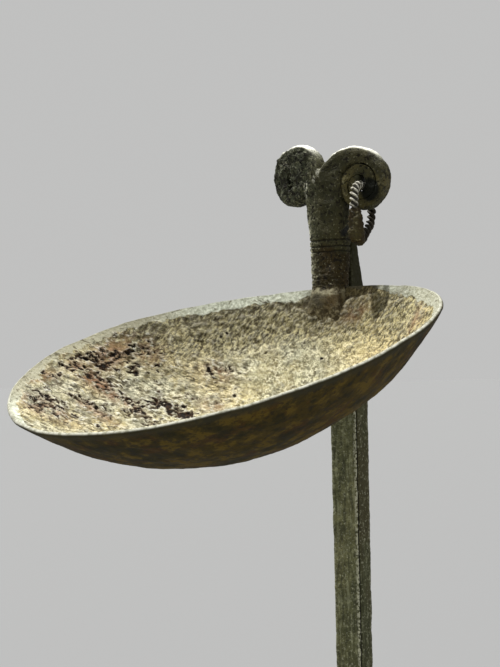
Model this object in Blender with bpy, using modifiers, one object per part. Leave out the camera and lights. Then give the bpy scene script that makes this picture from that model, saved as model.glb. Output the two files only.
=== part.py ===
"""Hand-forged iron oil lamp: a shallow bowl with a split, scrolled neck, a stake and a twisted ring."""
import math

import bmesh
import bpy
from mathutils import Matrix, Vector

# Clearance between pieces that touch
CLEARANCE = 0.0003

# Stake: a rectangular bar, X across and Y deep, standing on the origin
RIM_HEIGHT = 0.3301
STAKE_WIDTH = 0.0102
STAKE_DEPTH = 0.0080
STAKE_FOOT_SHARE = 0.80
STAKE_CORNER = 0.0004
TONGUE_HEIGHT = 0.0169
TONGUE_DROP = 0.0041
TONGUE_WIDTH = 0.0098
TONGUE_DEPTH = 0.0032

# Bowl: the rim's back edge stands RIM_GAP in front of the stake, and the front hangs lower
BOWL_RADIUS = 0.0655
BOWL_DEPTH = 0.0309
BOWL_FULLNESS = 2.29
BOWL_BOTTOM_ROUNDING = 1.052
BOWL_DROOP = math.radians(19.5)
BELLY_SHIFT = 0.0049
RIM_GAP = 0.0024
RIM_WALL = 0.0013
BOWL_WALL = 0.0022
LIP_BAND = 0.0040

# Hand-forged waves of the rim: share of the radius, number of lobes and bearing of the first lobe
ROUNDNESS_WAVE = 0.0204
ROUNDNESS_LOBES = 3
ROUNDNESS_BEARING = math.radians(135)
SADDLE_WAVE = 0.0159
SADDLE_LOBES = 2
SADDLE_BEARING = math.radians(-7.6)
RIPPLE_WAVE = 0.0052
RIPPLE_LOBES = 3
RIPPLE_BEARING = math.radians(134)

# Neck: a rounded rectangular bar drawn up from the back of the rim
NECK_HEIGHT = 0.0382
NECK_BASE_WIDTH = 0.0119
NECK_TOP_WIDTH = 0.0139
NECK_BASE_DEPTH = 0.0057
NECK_TOP_DEPTH = 0.0067
NECK_BASE_SIDE = -0.0010
NECK_TOP_SIDE = -0.0014
NECK_CORNER = 0.0012
NECK_SLIT = 0.0012
NECK_CONTACT_HEIGHT = 0.0080
NECK_ROOT_LENGTH = 0.0110
NECK_ROOT_WIDTH = 0.0145

# Incised bands round the neck
BAND_DEPTH = 0.00035
BAND_HALF_WIDTH = 0.0004
BAND_PITCH = 0.0017
UPPER_BAND_TOP = 0.0155
LOWER_BAND_TOP = 0.0049
LOWER_BAND_DEPTH = 0.0002
BANDS_IN_A_GROUP = 3

# Scrolls: the split neck, each half rolled outward round its eye
SCROLL_SPLIT_SIDE = -0.0029
SCROLL_STRIP_DEPTH = 0.0062
SCROLL_CORNER = 0.0011
SCROLL_SEAM = 0.0003
RIGHT_EYE_SIDE = 0.0125
RIGHT_EYE_HEIGHT = 0.0322
RIGHT_EYE_FRONT = -0.0100
RIGHT_SPLAY = math.radians(10)
RIGHT_SIZE = 0.0210
LEFT_EYE_SIDE = -0.0166
LEFT_EYE_HEIGHT = 0.0364
LEFT_EYE_FRONT = -0.0080
LEFT_SPLAY = math.radians(20)
LEFT_SIZE = 0.0210

# Outer radius of each strip as a share of its scroll's size, by bearing in degrees: the strip starts
# at 0 beside the neck and passes the top at 90, the outside at 180 and the bottom at 270
RIGHT_COURSE = ((35, 0.770), (62, 0.690), (90, 0.630), (140, 0.500), (180, 0.420), (225, 0.368),
                (270, 0.352), (360, 0.330), (405, 0.362), (450, 0.356), (540, 0.258), (630, 0.200),
                (720, 0.200), (810, 0.190))
LEFT_COURSE = ((20, 0.686), (52, 0.660), (90, 0.555), (140, 0.560), (180, 0.470), (225, 0.410),
               (270, 0.385), (330, 0.438), (360, 0.447), (405, 0.420), (450, 0.395), (500, 0.370),
               (540, 0.305), (630, 0.220), (720, 0.257), (810, 0.200))
RIGHT_TOP_GAP = 0.0006
LEFT_TOP_GAP = 0.0003
RIGHT_EYE_RADIUS = 0.0021
LEFT_EYE_RADIUS = 0.0012
SCROLL_STEP = 15

# Ring: two-strand twisted wire through the right eye
RING_WIRE = 0.0026
RING_DEPTH = 0.0144
RING_HEIGHT = 0.0181
RING_TOP = 0.0003
RING_TWISTS = 28
RING_STATIONS = 144
RING_LAP_WIDTH = 0.0027
RING_LAP_THICKNESS = 0.0026
RING_LAP_OVERLAP = 0.0006
LAP_START = 0.262
LAP_END = 0.505

# Run of the wire from the eye round to the front: shares of the ring's depth toward the viewer and of
# its height below its top
RING_COURSE = ((0.0, 0.0), (0.306, 0.011), (0.486, 0.116), (0.542, 0.293), (0.556, 0.514), (0.549, 0.790),
               (0.472, 0.945), (0.319, 1.0), (0.111, 0.945), (-0.125, 0.801), (-0.347, 0.652),
               (-0.444, 0.459), (-0.438, 0.227), (-0.292, 0.050))

BOWL_SEGMENTS = 72
BOWL_RINGS = 11
WELD = 0.00001
ROOT_INSET = 0.3


def smooth_step(value):
    value = min(max(value, 0.0), 1.0)
    return value * value * (3 - 2 * value)


def mix(first, second, share):
    return first * (1 - share) + second * share


def through(nodes, place):
    """Value at a place on a smooth curve through (place, value) nodes."""
    last = len(nodes) - 1
    if place <= nodes[0][0]:
        return nodes[0][1]
    if place >= nodes[last][0]:
        return nodes[last][1]
    index = max(number for number in range(last) if nodes[number][0] <= place)
    start, end = nodes[index], nodes[index + 1]
    before, after = nodes[max(index - 1, 0)], nodes[min(index + 2, last)]
    span = end[0] - start[0]
    start_slope = (end[1] - before[1]) / (end[0] - before[0]) * span
    end_slope = (after[1] - start[1]) / (after[0] - start[0]) * span
    share = (place - start[0]) / span
    square, cube = share ** 2, share ** 3
    return ((2 * cube - 3 * square + 1) * start[1] + (cube - 2 * square + share) * start_slope
            + (3 * square - 2 * cube) * end[1] + (cube - square) * end_slope)


def make_material(name, colour, roughness, metallic):
    material = bpy.data.materials.new(name)
    material.use_nodes = True
    shader = material.node_tree.nodes["Principled BSDF"]
    shader.inputs["Base Color"].default_value = (*colour, 1.0)
    shader.inputs["Roughness"].default_value = roughness
    shader.inputs["Metallic"].default_value = metallic
    return material


def add_object(name, mesh, material, collection):
    piece = bpy.data.objects.new(name, mesh)
    collection.objects.link(piece)
    mesh.materials.clear()
    mesh.materials.append(material)
    return piece


def shade(mesh, degrees):
    mesh.shade_smooth()
    mesh.set_sharp_from_angle(angle=math.radians(degrees))


# Bowl

def stake_front():
    return -STAKE_DEPTH / 2


def bowl_frame():
    """Matrix from the bowl's own axes (X across, Y to the back, Z out of the mouth) to the world."""
    back = Vector((0, math.cos(BOWL_DROOP), math.sin(BOWL_DROOP)))
    side = Vector((1, 0, 0))
    up = side.cross(back)
    turn = Matrix((side, back, up)).transposed().to_4x4()
    rim_back = Vector((0, stake_front() - RIM_GAP, RIM_HEIGHT))
    centre = rim_back - turn @ forged(BOWL_RADIUS, 0.0, math.pi / 2)
    return Matrix.Translation(centre) @ turn


def outer_profile(share):
    """Radius and height of the bowl's outer face at a share of the rim radius."""
    height = -BOWL_DEPTH * (1 - share ** BOWL_FULLNESS) ** (1 / BOWL_BOTTOM_ROUNDING)
    return Vector((BOWL_RADIUS * share, height))


def inner_profile(share):
    """The inner face: the outer face moved in by a wall that is thin at the lip."""
    step = 0.002
    low, high = max(share - step, 0.0), min(share + step, 1.0)
    run = outer_profile(high) - outer_profile(low)
    inward = Vector((-run.y, run.x)).normalized()
    below_lip = (1 - share) * BOWL_RADIUS / LIP_BAND
    wall = mix(RIM_WALL, BOWL_WALL, smooth_step(below_lip / 2))
    point = outer_profile(share) + inward * wall
    return Vector((max(point.x, 0.0), point.y))


def forged(radius, height, bearing):
    """A turned point moved to where the hammered bowl has it."""
    roundness = ROUNDNESS_WAVE * math.cos(ROUNDNESS_LOBES * bearing - ROUNDNESS_BEARING)
    saddle = SADDLE_WAVE * math.cos(SADDLE_LOBES * bearing - SADDLE_BEARING)
    ripple = RIPPLE_WAVE * math.cos(RIPPLE_LOBES * bearing - RIPPLE_BEARING)
    reach = radius * (1 + roundness)
    shift = BELLY_SHIFT * max(-height, 0.0) / BOWL_DEPTH
    lift = (saddle + ripple) * radius
    return Vector((reach * math.cos(bearing), reach * math.sin(bearing) + shift, height + lift))


def profile_shares():
    """Shares of the rim radius from the rim to the middle, closer together near the lip."""
    return [1 - (step / BOWL_RINGS) ** 1.5 for step in range(BOWL_RINGS + 1)]


def evaluated_mesh(piece, name):
    """The piece's evaluated mesh with its doubled points welded; the piece itself is removed."""
    bpy.context.view_layer.update()
    graph = bpy.context.evaluated_depsgraph_get()
    mesh = bpy.data.meshes.new_from_object(piece.evaluated_get(graph))
    mesh.name = name
    bpy.data.objects.remove(piece)
    shape = bmesh.new()
    shape.from_mesh(mesh)
    bmesh.ops.remove_doubles(shape, verts=shape.verts, dist=WELD)
    bmesh.ops.dissolve_degenerate(shape, dist=WELD, edges=shape.edges)
    bmesh.ops.recalc_face_normals(shape, faces=shape.faces)
    shape.to_mesh(mesh)
    shape.free()
    return mesh


def make_bowl(material, collection):
    shares = profile_shares()
    outer = [outer_profile(share) for share in shares]
    inner = [inner_profile(share) for share in reversed(shares)]
    points = [Vector((point.x, 0, point.y)) for point in outer + inner]
    middle = len(outer) - 1
    edges = [(number, number + 1) for number in range(len(points) - 1) if number != middle]
    edges.append((len(points) - 1, 0))
    profile = bpy.data.meshes.new("bowl profile")
    profile.from_pydata(points, edges, [])
    turned = add_object("turned bowl", profile, material, collection)
    screw = turned.modifiers.new("turn", "SCREW")
    screw.axis = "Z"
    screw.steps = BOWL_SEGMENTS
    screw.render_steps = BOWL_SEGMENTS
    screw.use_merge_vertices = True
    screw.merge_threshold = WELD
    mesh = evaluated_mesh(turned, "bowl")
    to_world = bowl_frame()
    for vertex in mesh.vertices:
        place = vertex.co
        radius = math.hypot(place.x, place.y)
        bearing = math.atan2(place.y, place.x)
        vertex.co = to_world @ forged(radius, place.z, bearing)
    mesh.update()
    return add_object("bowl", mesh, material, collection)


# Bars with a rounded rectangular section

def corner_points(centre, across, along, corner, first_sign, second_sign, clockwise):
    """Three points that round one corner of a section with half extents across and along."""
    unit_across = across.normalized() * first_sign
    unit_along = along.normalized() * second_sign
    tip = centre + across * first_sign + along * second_sign
    heart = tip - unit_across * corner - unit_along * corner
    angles = (0, math.pi / 4, math.pi / 2)
    arc = [heart + unit_across * corner * math.cos(angle) + unit_along * corner * math.sin(angle)
           for angle in angles]
    return arc[::-1] if clockwise else arc


def section(centre, across, along, corner):
    """Twelve points round a rounded rectangle, counterclockwise from +across +along."""
    corner = min(corner, 0.45 * across.length, 0.45 * along.length)
    points = []
    for first_sign, second_sign, clockwise in ((1, 1, False), (-1, 1, True), (-1, -1, False), (1, -1, True)):
        points += corner_points(centre, across, along, corner, first_sign, second_sign, clockwise)
    return points


def join_rings(shape, first, second):
    count = len(first)
    for number in range(count):
        after = (number + 1) % count
        shape.faces.new((first[number], first[after], second[after], second[number]))


def add_rings(shape, rings):
    made = [[shape.verts.new(point) for point in ring] for ring in rings]
    for first, second in zip(made, made[1:]):
        join_rings(shape, first, second)
    return made


def loft_mesh(name, rings, closed=False):
    shape = bmesh.new()
    made = add_rings(shape, rings)
    if closed:
        join_rings(shape, made[-1], made[0])
    else:
        shape.faces.new(made[0][::-1])
        shape.faces.new(made[-1])
    bmesh.ops.recalc_face_normals(shape, faces=shape.faces)
    mesh = bpy.data.meshes.new(name)
    shape.to_mesh(mesh)
    shape.free()
    return mesh


# Neck and scrolls

def neck_back(height):
    """Y of the neck's back: a narrow slit at the rim, then touching the stake's tongue."""
    share = min(max(height, 0.0) / NECK_CONTACT_HEIGHT, 1.0)
    return stake_front() - mix(NECK_SLIT, CLEARANCE, share)


def neck_measures(height):
    """Middle X, width, front Y and back Y of the neck at a height above the rim's back edge."""
    share = min(max(height, 0.0) / NECK_HEIGHT, 1.0)
    side = mix(NECK_BASE_SIDE, NECK_TOP_SIDE, share)
    width = mix(NECK_BASE_WIDTH, NECK_TOP_WIDTH, share)
    back = neck_back(height)
    front = back - mix(NECK_BASE_DEPTH, NECK_TOP_DEPTH, share)
    return side, width, front, back


def band_cuts():
    """Heights and depths of the incised bands, from the lowest up."""
    cuts = []
    for top, depth in ((LOWER_BAND_TOP, LOWER_BAND_DEPTH), (UPPER_BAND_TOP, BAND_DEPTH)):
        for number in reversed(range(BANDS_IN_A_GROUP)):
            cuts.append((top - number * BAND_PITCH, depth))
    return cuts


def neck_heights():
    """Heights of the neck's rings with the depth cut away at each."""
    heights = [(0.0, 0.0)]
    for middle, depth in band_cuts():
        heights += [(middle - BAND_HALF_WIDTH, 0.0), (middle, depth), (middle + BAND_HALF_WIDTH, 0.0)]
    heights = [pair for pair in heights if pair[0] >= 0.0]
    heights.append((mix(UPPER_BAND_TOP, NECK_HEIGHT, 0.5), 0.0))
    heights.append((NECK_HEIGHT, 0.0))
    return heights


def neck_ring(side, width, front, back, split):
    """Fourteen points: a rounded rectangle with a point in its front and its back where it splits."""
    centre = (front + back) / 2
    corners = section(centre, Vector((width / 2, 0, 0)), (front - back) / 2, NECK_CORNER)
    lift = Vector((side, 0, 0))
    corners = [point + lift for point in corners]
    front_split = Vector((split, front.y, front.z))
    back_split = Vector((split, back.y, back.z))
    front_right, front_left, back_left, back_right = (corners[start:start + 3] for start in (0, 3, 6, 9))
    return [front_split] + front_left + back_left + [back_split] + back_right + front_right


def root_rings():
    """Rings that draw the neck out into the wall of the bowl, from the lowest up."""
    to_world = bowl_frame()
    bearing = math.pi / 2
    steps = 5
    side, width, front, back = neck_measures(0.0)
    walls = []
    for number in range(steps + 1):
        share = 1 - NECK_ROOT_LENGTH / BOWL_RADIUS * number / steps
        outer, inner = outer_profile(share), inner_profile(share)
        walls.append((to_world @ forged(outer.x, outer.y, bearing), to_world @ forged(inner.x, inner.y, bearing)))
    rim_outer, rim_inner = walls[0]
    rings = []
    for number in range(steps, 0, -1):
        share = number / steps
        outer, inner = walls[number]
        wall = inner - outer
        front_point = mix(Vector((0, front, RIM_HEIGHT)) - rim_inner, -wall * ROOT_INSET, smooth_step(share)) + inner
        back_point = mix(Vector((0, back, RIM_HEIGHT)) - rim_outer, wall * ROOT_INSET, smooth_step(share)) + outer
        spread = mix(width, NECK_ROOT_WIDTH, share)
        rings.append(neck_ring(side, spread, front_point, back_point, side))
    return rings


def neck_rings():
    rings = root_rings()
    for height, cut in neck_heights():
        side, width, front, back = neck_measures(height)
        level = RIM_HEIGHT + height
        split = mix(side, SCROLL_SPLIT_SIDE, smooth_step(height / NECK_HEIGHT))
        front_point = Vector((0, front + cut, level))
        back_point = Vector((0, back - cut, level))
        rings.append(neck_ring(side, width - 2 * cut, front_point, back_point, split))
    return rings


def strip_radii(course, size, top_gap, eye_radius, bearing):
    """Outer and inner radius of a rolled strip: it lies on the next turn inside it."""
    outer = through(course, bearing) * size
    turn = 360
    end = course[-1][0]
    closing = smooth_step((bearing - 90) / 70)
    gap = mix(top_gap, SCROLL_SEAM, closing)
    inside = through(course, bearing + turn) * size + gap
    if bearing + turn > end:
        inside = mix(through(course, end) * size + gap, eye_radius, smooth_step((bearing + turn - end) / 90))
    return outer, inside


def scroll_rings(hand, eye, splay, size, course, top_gap, eye_radius):
    """Rings of one strip from the split to its inner end; hand is 1 for +X and -1 for -X."""
    neck_side, neck_width, neck_front, neck_rear = neck_measures(NECK_HEIGHT)
    outward = Vector((hand * math.cos(splay), math.sin(splay), 0))
    plain_outward = Vector((hand, 0, 0))
    face = Vector((hand * math.sin(splay), -math.cos(splay), 0))
    plain_face = Vector((0, -1, 0))
    neck_eye = Vector((eye.x, neck_front, eye.z))
    rings = []
    first, last = course[0][0], course[-1][0]
    count = round((last - first) / SCROLL_STEP)
    for number in range(count + 1):
        bearing = mix(first, last, number / count)
        turned = smooth_step((bearing - first) / (110 - first))
        outer, inner = strip_radii(course, size, top_gap, eye_radius, bearing)
        angle = math.radians(bearing)
        depth = mix(neck_rear - neck_front, SCROLL_STRIP_DEPTH, turned)
        corners = []
        middle = (outer + inner) / 2
        for origin, way, normal in ((neck_eye, plain_outward, plain_face), (eye, outward, face)):
            ray = Vector((0, 0, math.sin(angle))) - way * math.cos(angle)
            centre = origin + ray * middle - normal * depth / 2
            corners.append((centre, ray, normal))
        centre = mix(corners[0][0], corners[1][0], turned)
        ray = mix(corners[0][1], corners[1][1], turned).normalized()
        normal = mix(corners[0][2], corners[1][2], turned).normalized()
        half = (outer - inner) / 2
        corner = mix(NECK_CORNER, SCROLL_CORNER, turned)
        rings.append(section(centre, ray * half, normal * depth / 2, corner))
    return rings


def make_neck_and_scrolls(material, collection):
    shape = bmesh.new()
    rings = add_rings(shape, neck_rings())
    shape.faces.new(rings[0])
    top = rings[-1]
    front_split, back_split = top[0], top[7]
    front_left, back_left, back_right, front_right = top[1:4], top[4:7], top[8:11], top[11:14]
    right_eye = Vector((RIGHT_EYE_SIDE, RIGHT_EYE_FRONT, RIM_HEIGHT + RIGHT_EYE_HEIGHT))
    left_eye = Vector((LEFT_EYE_SIDE, LEFT_EYE_FRONT, RIM_HEIGHT + LEFT_EYE_HEIGHT))
    right = scroll_rings(1, right_eye, RIGHT_SPLAY, RIGHT_SIZE, RIGHT_COURSE, RIGHT_TOP_GAP, RIGHT_EYE_RADIUS)
    left = scroll_rings(-1, left_eye, LEFT_SPLAY, LEFT_SIZE, LEFT_COURSE, LEFT_TOP_GAP, LEFT_EYE_RADIUS)
    sides = ((right, front_right[::-1], back_right[::-1]), (left, front_left, back_left))
    for strip, front_corner, back_corner in sides:
        made = add_rings(shape, strip)
        # Section order: front outer, front inner, back inner, back outer corner
        seat = [front_split] * 3 + front_corner + back_corner + [back_split] * 3
        count = len(seat)
        for number in range(count):
            after = (number + 1) % count
            corners = [seat[number], seat[after], made[0][after], made[0][number]]
            distinct = [corner for place, corner in enumerate(corners) if corner not in corners[:place]]
            if len(distinct) > 2:
                shape.faces.new(distinct)
        shape.faces.new(made[-1])
    bmesh.ops.recalc_face_normals(shape, faces=shape.faces)
    mesh = bpy.data.meshes.new("neck")
    shape.to_mesh(mesh)
    shape.free()
    return add_object("neck", mesh, material, collection)


def unite(first, second, name):
    """One closed solid from two; the second is used up."""
    union = first.modifiers.new("union", "BOOLEAN")
    union.operation = "UNION"
    union.solver = "EXACT"
    union.object = second
    mesh = evaluated_mesh(first, name)
    bpy.data.objects.remove(second)
    return mesh


def make_lamp_forging(material, collection):
    bowl = make_bowl(material, collection)
    neck = make_neck_and_scrolls(material, collection)
    mesh = unite(bowl, neck, "bowl")
    shade(mesh, 40)
    return add_object("bowl", mesh, material, collection)


# Stake

def make_stake(material, collection):
    levels = (
        (0.0, STAKE_WIDTH * STAKE_FOOT_SHARE, STAKE_DEPTH * STAKE_FOOT_SHARE, 0.0),
        (RIM_HEIGHT - TONGUE_DROP, STAKE_WIDTH, STAKE_DEPTH, 0.0),
        (RIM_HEIGHT + TONGUE_HEIGHT, TONGUE_WIDTH, TONGUE_DEPTH, stake_front() + TONGUE_DEPTH / 2),
    )
    rings = []
    for height, width, depth, middle in levels:
        rings.append(section(Vector((0, middle, height)), Vector((width / 2, 0, 0)),
                             Vector((0, depth / 2, 0)), STAKE_CORNER))
    mesh = loft_mesh("stake", rings)
    shade(mesh, 30)
    return add_object("stake", mesh, material, collection)


# Ring

def ring_point(turns):
    """Point on the smooth closed curve through the ring's course at a share of its length."""
    count = len(RING_COURSE)
    place = (turns % 1.0) * count
    index = int(place) % count
    share = place - int(place)
    points = []
    for offset in (-1, 0, 1, 2):
        forward, drop = RING_COURSE[(index + offset) % count]
        points.append(Vector((forward * RING_DEPTH, -drop * RING_HEIGHT)))
    before, start, end, after = points
    square, cube = share ** 2, share ** 3
    return 0.5 * (2 * start + (end - before) * share + (2 * before - 5 * start + 4 * end - after) * square
                  + (3 * start - before - 3 * end + after) * cube)


def ring_frame():
    """Top of the wire inside the eye, the ring's direction toward the viewer and its own axis."""
    face = Vector((math.sin(RIGHT_SPLAY), -math.cos(RIGHT_SPLAY), 0))
    axis = Vector((math.cos(RIGHT_SPLAY), math.sin(RIGHT_SPLAY), 0))
    eye = Vector((RIGHT_EYE_SIDE, RIGHT_EYE_FRONT, RIM_HEIGHT + RIGHT_EYE_HEIGHT))
    top = eye - face * SCROLL_STRIP_DEPTH / 2 + Vector((0, 0, RING_TOP))
    return top, face, axis


def wire_place(turns):
    top, face, axis = ring_frame()
    step = 0.002
    flat = ring_point(turns)
    run = ring_point(turns + step) - ring_point(turns - step)
    place = top + face * flat.x + Vector((0, 0, flat.y))
    along = (face * run.x + Vector((0, 0, run.y))).normalized()
    return place, along.cross(axis).normalized(), axis


def make_ring(material, collection):
    rings = []
    points_round = 8
    for station in range(RING_STATIONS):
        turns = station / RING_STATIONS
        place, out, axis = wire_place(turns)
        twist = math.pi * RING_TWISTS * turns
        ring = []
        for number in range(points_round):
            angle = 2 * math.pi * number / points_round
            radius = RING_WIRE / 2 * (0.86 + 0.14 * math.cos(2 * (angle - twist)))
            ring.append(place + (out * math.cos(angle) + axis * math.sin(angle)) * radius)
        rings.append(ring)
    wire = add_object("wire", loft_mesh("wire", rings, closed=True), material, collection)
    lap_rings = []
    steps = 10
    for step in range(steps + 1):
        turns = mix(LAP_START, LAP_END, step / steps)
        place, out, axis = wire_place(turns)
        fullness = 0.60 + 0.40 * math.sin(math.pi * step / steps) ** 0.5
        half_width, half_thickness = RING_LAP_WIDTH / 2 * fullness, RING_LAP_THICKNESS / 2 * fullness
        centre = place + axis * (RING_WIRE / 2 + RING_LAP_WIDTH / 2 - RING_LAP_OVERLAP)
        corner = 0.6 * half_thickness
        lap_rings.append(section(centre, out * half_thickness, axis * half_width, corner))
    lap = add_object("lap", loft_mesh("lap", lap_rings), material, collection)
    mesh = unite(wire, lap, "ring")
    shade(mesh, 50)
    return add_object("ring", mesh, material, collection)


def main():
    for piece in list(bpy.data.objects):
        bpy.data.objects.remove(piece)
    collection = bpy.data.collections.new("iron_oil_lamp")
    bpy.context.scene.collection.children.link(collection)
    crusted = make_material("crusted iron", (0.32, 0.28, 0.19), 0.85, 0.2)
    dark = make_material("dark forged iron", (0.10, 0.10, 0.08), 0.70, 0.5)
    wire = make_material("twisted iron wire", (0.16, 0.14, 0.10), 0.65, 0.5)
    make_lamp_forging(crusted, collection)
    make_stake(dark, collection)
    make_ring(wire, collection)


main()
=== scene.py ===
import math

import bmesh
import bpy
import numpy as np
from mathutils import Matrix, Vector, noise


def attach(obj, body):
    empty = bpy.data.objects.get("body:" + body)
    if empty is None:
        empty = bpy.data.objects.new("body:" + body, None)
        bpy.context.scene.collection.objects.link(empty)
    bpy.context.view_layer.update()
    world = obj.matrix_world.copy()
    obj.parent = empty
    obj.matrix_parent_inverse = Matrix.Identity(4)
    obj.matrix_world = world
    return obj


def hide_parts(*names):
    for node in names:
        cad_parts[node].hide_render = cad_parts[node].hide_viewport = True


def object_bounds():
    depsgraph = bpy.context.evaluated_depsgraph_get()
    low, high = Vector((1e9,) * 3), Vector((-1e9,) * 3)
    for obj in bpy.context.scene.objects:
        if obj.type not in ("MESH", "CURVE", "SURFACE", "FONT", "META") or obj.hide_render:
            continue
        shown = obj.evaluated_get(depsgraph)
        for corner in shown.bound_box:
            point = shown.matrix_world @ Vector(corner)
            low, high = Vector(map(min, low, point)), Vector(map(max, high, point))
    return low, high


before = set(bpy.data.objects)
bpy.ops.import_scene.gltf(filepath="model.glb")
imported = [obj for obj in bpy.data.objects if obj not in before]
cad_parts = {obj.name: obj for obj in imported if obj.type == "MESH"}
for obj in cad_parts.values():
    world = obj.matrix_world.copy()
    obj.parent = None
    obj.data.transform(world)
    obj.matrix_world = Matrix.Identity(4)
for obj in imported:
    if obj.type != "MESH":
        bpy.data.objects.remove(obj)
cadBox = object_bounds()

mm = 0.001   # all shapes below are worked out in millimetres


# small helpers for numbers and surfaces

def mix(first, second, share):
    return first * (1 - share) + second * share


def easeIn(value):
    value = np.clip(value, 0.0, 1.0)
    return value * value * (3 - 2 * value)


def ramp(value, start, width):
    # 0 up to the start, 1 from start + width on
    return easeIn((value - start) / width)


def bell(value, width):
    # 1 in the middle, falling off to both sides
    return np.exp(-(value / width) ** 2)


def lumps(points, size, octaves=3, shift=0.0):
    # cloudy noise through space: average 0, spread about 1, lumps of the given size
    scaled = points / size + shift
    return np.array([noise.fractal(Vector(place), 1.0, 2.0, octaves) for place in scaled]) / 0.27


def unit(vectors):
    return vectors / np.maximum(np.linalg.norm(vectors, axis=-1, keepdims=True), 1e-12)


def gridFaces(rows, columns, wrapColumns=False, wrapRows=False):
    # corner numbers of the quads of a rows x columns sheet of points
    net = np.arange(rows * columns).reshape(rows, columns)
    net = np.pad(net, ((0, int(wrapRows)), (0, int(wrapColumns))), mode="wrap")
    corners = net[:-1, :-1], net[:-1, 1:], net[1:, 1:], net[1:, :-1]
    return np.stack([corner.ravel() for corner in corners], axis=1)


def meshFrom(name, points, faces):
    mesh = bpy.data.meshes.new(name)
    mesh.vertices.add(len(points))
    mesh.vertices.foreach_set("co", (points * mm).astype(np.float32).ravel())
    mesh.loops.add(faces.size)
    mesh.loops.foreach_set("vertex_index", faces.ravel().astype(np.int32))
    mesh.polygons.add(len(faces))
    mesh.polygons.foreach_set("loop_start", np.arange(0, faces.size, faces.shape[1], dtype=np.int32))
    mesh.update(calc_edges=True)
    mesh.validate()
    return mesh


def meshPoints(mesh):
    points = np.empty(len(mesh.vertices) * 3, dtype=np.float32)
    mesh.vertices.foreach_get("co", points)
    return points.reshape(-1, 3).astype(float) / mm


def meshNormals(mesh):
    normals = np.empty(len(mesh.vertices) * 3, dtype=np.float32)
    mesh.vertex_normals.foreach_get("vector", normals)
    return normals.reshape(-1, 3).astype(float)


def movePoints(mesh, points):
    mesh.vertices.foreach_set("co", (points * mm).astype(np.float32).ravel())
    mesh.update()


def normalsToward(mesh, way):
    normals = meshNormals(mesh)
    return -normals if (normals * way).sum() < 0 else normals


def keep(mesh, **masks):
    # masks on the points that the materials read
    for name, values in masks.items():
        layer = mesh.attributes.new(name, "FLOAT", "POINT")
        layer.data.foreach_set("value", np.clip(values, 0.0, 1.0).astype(np.float32))


def leaned(points, lean, stretch, turn):
    # places along leaning axes, squeezed so that noise read there is drawn out
    lean, turn = math.radians(lean), math.radians(turn)
    side = points[:, 0] * math.cos(turn) + points[:, 1] * math.sin(turn)
    deep = points[:, 1] * math.cos(turn) - points[:, 0] * math.sin(turn)
    first = side * math.cos(lean) - points[:, 2] * math.sin(lean)
    last = side * math.sin(lean) + points[:, 2] * math.cos(lean)
    return np.stack([first, deep, last], axis=1) / np.array(stretch)


def addPiece(name, mesh, material, slotName, *nodes):
    piece = bpy.data.objects.new(name, mesh)
    bpy.context.scene.collection.objects.link(piece)
    mesh.materials.append(material)
    mesh.shade_smooth()
    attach(piece, "root")
    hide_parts(*nodes)
    print(name, "is made,", len(mesh.polygons), "faces")


# shader maths: a socket that adds and multiplies like a number

class Socket:
    def __init__(self, bench, link):
        self.bench, self.link = bench, link

    def __add__(self, other):
        return self.bench.maths("ADD", self, other)

    def __sub__(self, other):
        return self.bench.maths("SUBTRACT", self, other)

    def __rsub__(self, other):
        return self.bench.maths("SUBTRACT", other, self)

    def __mul__(self, other):
        return self.bench.maths("MULTIPLY", self, other)

    __radd__ = __add__
    __rmul__ = __mul__


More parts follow.
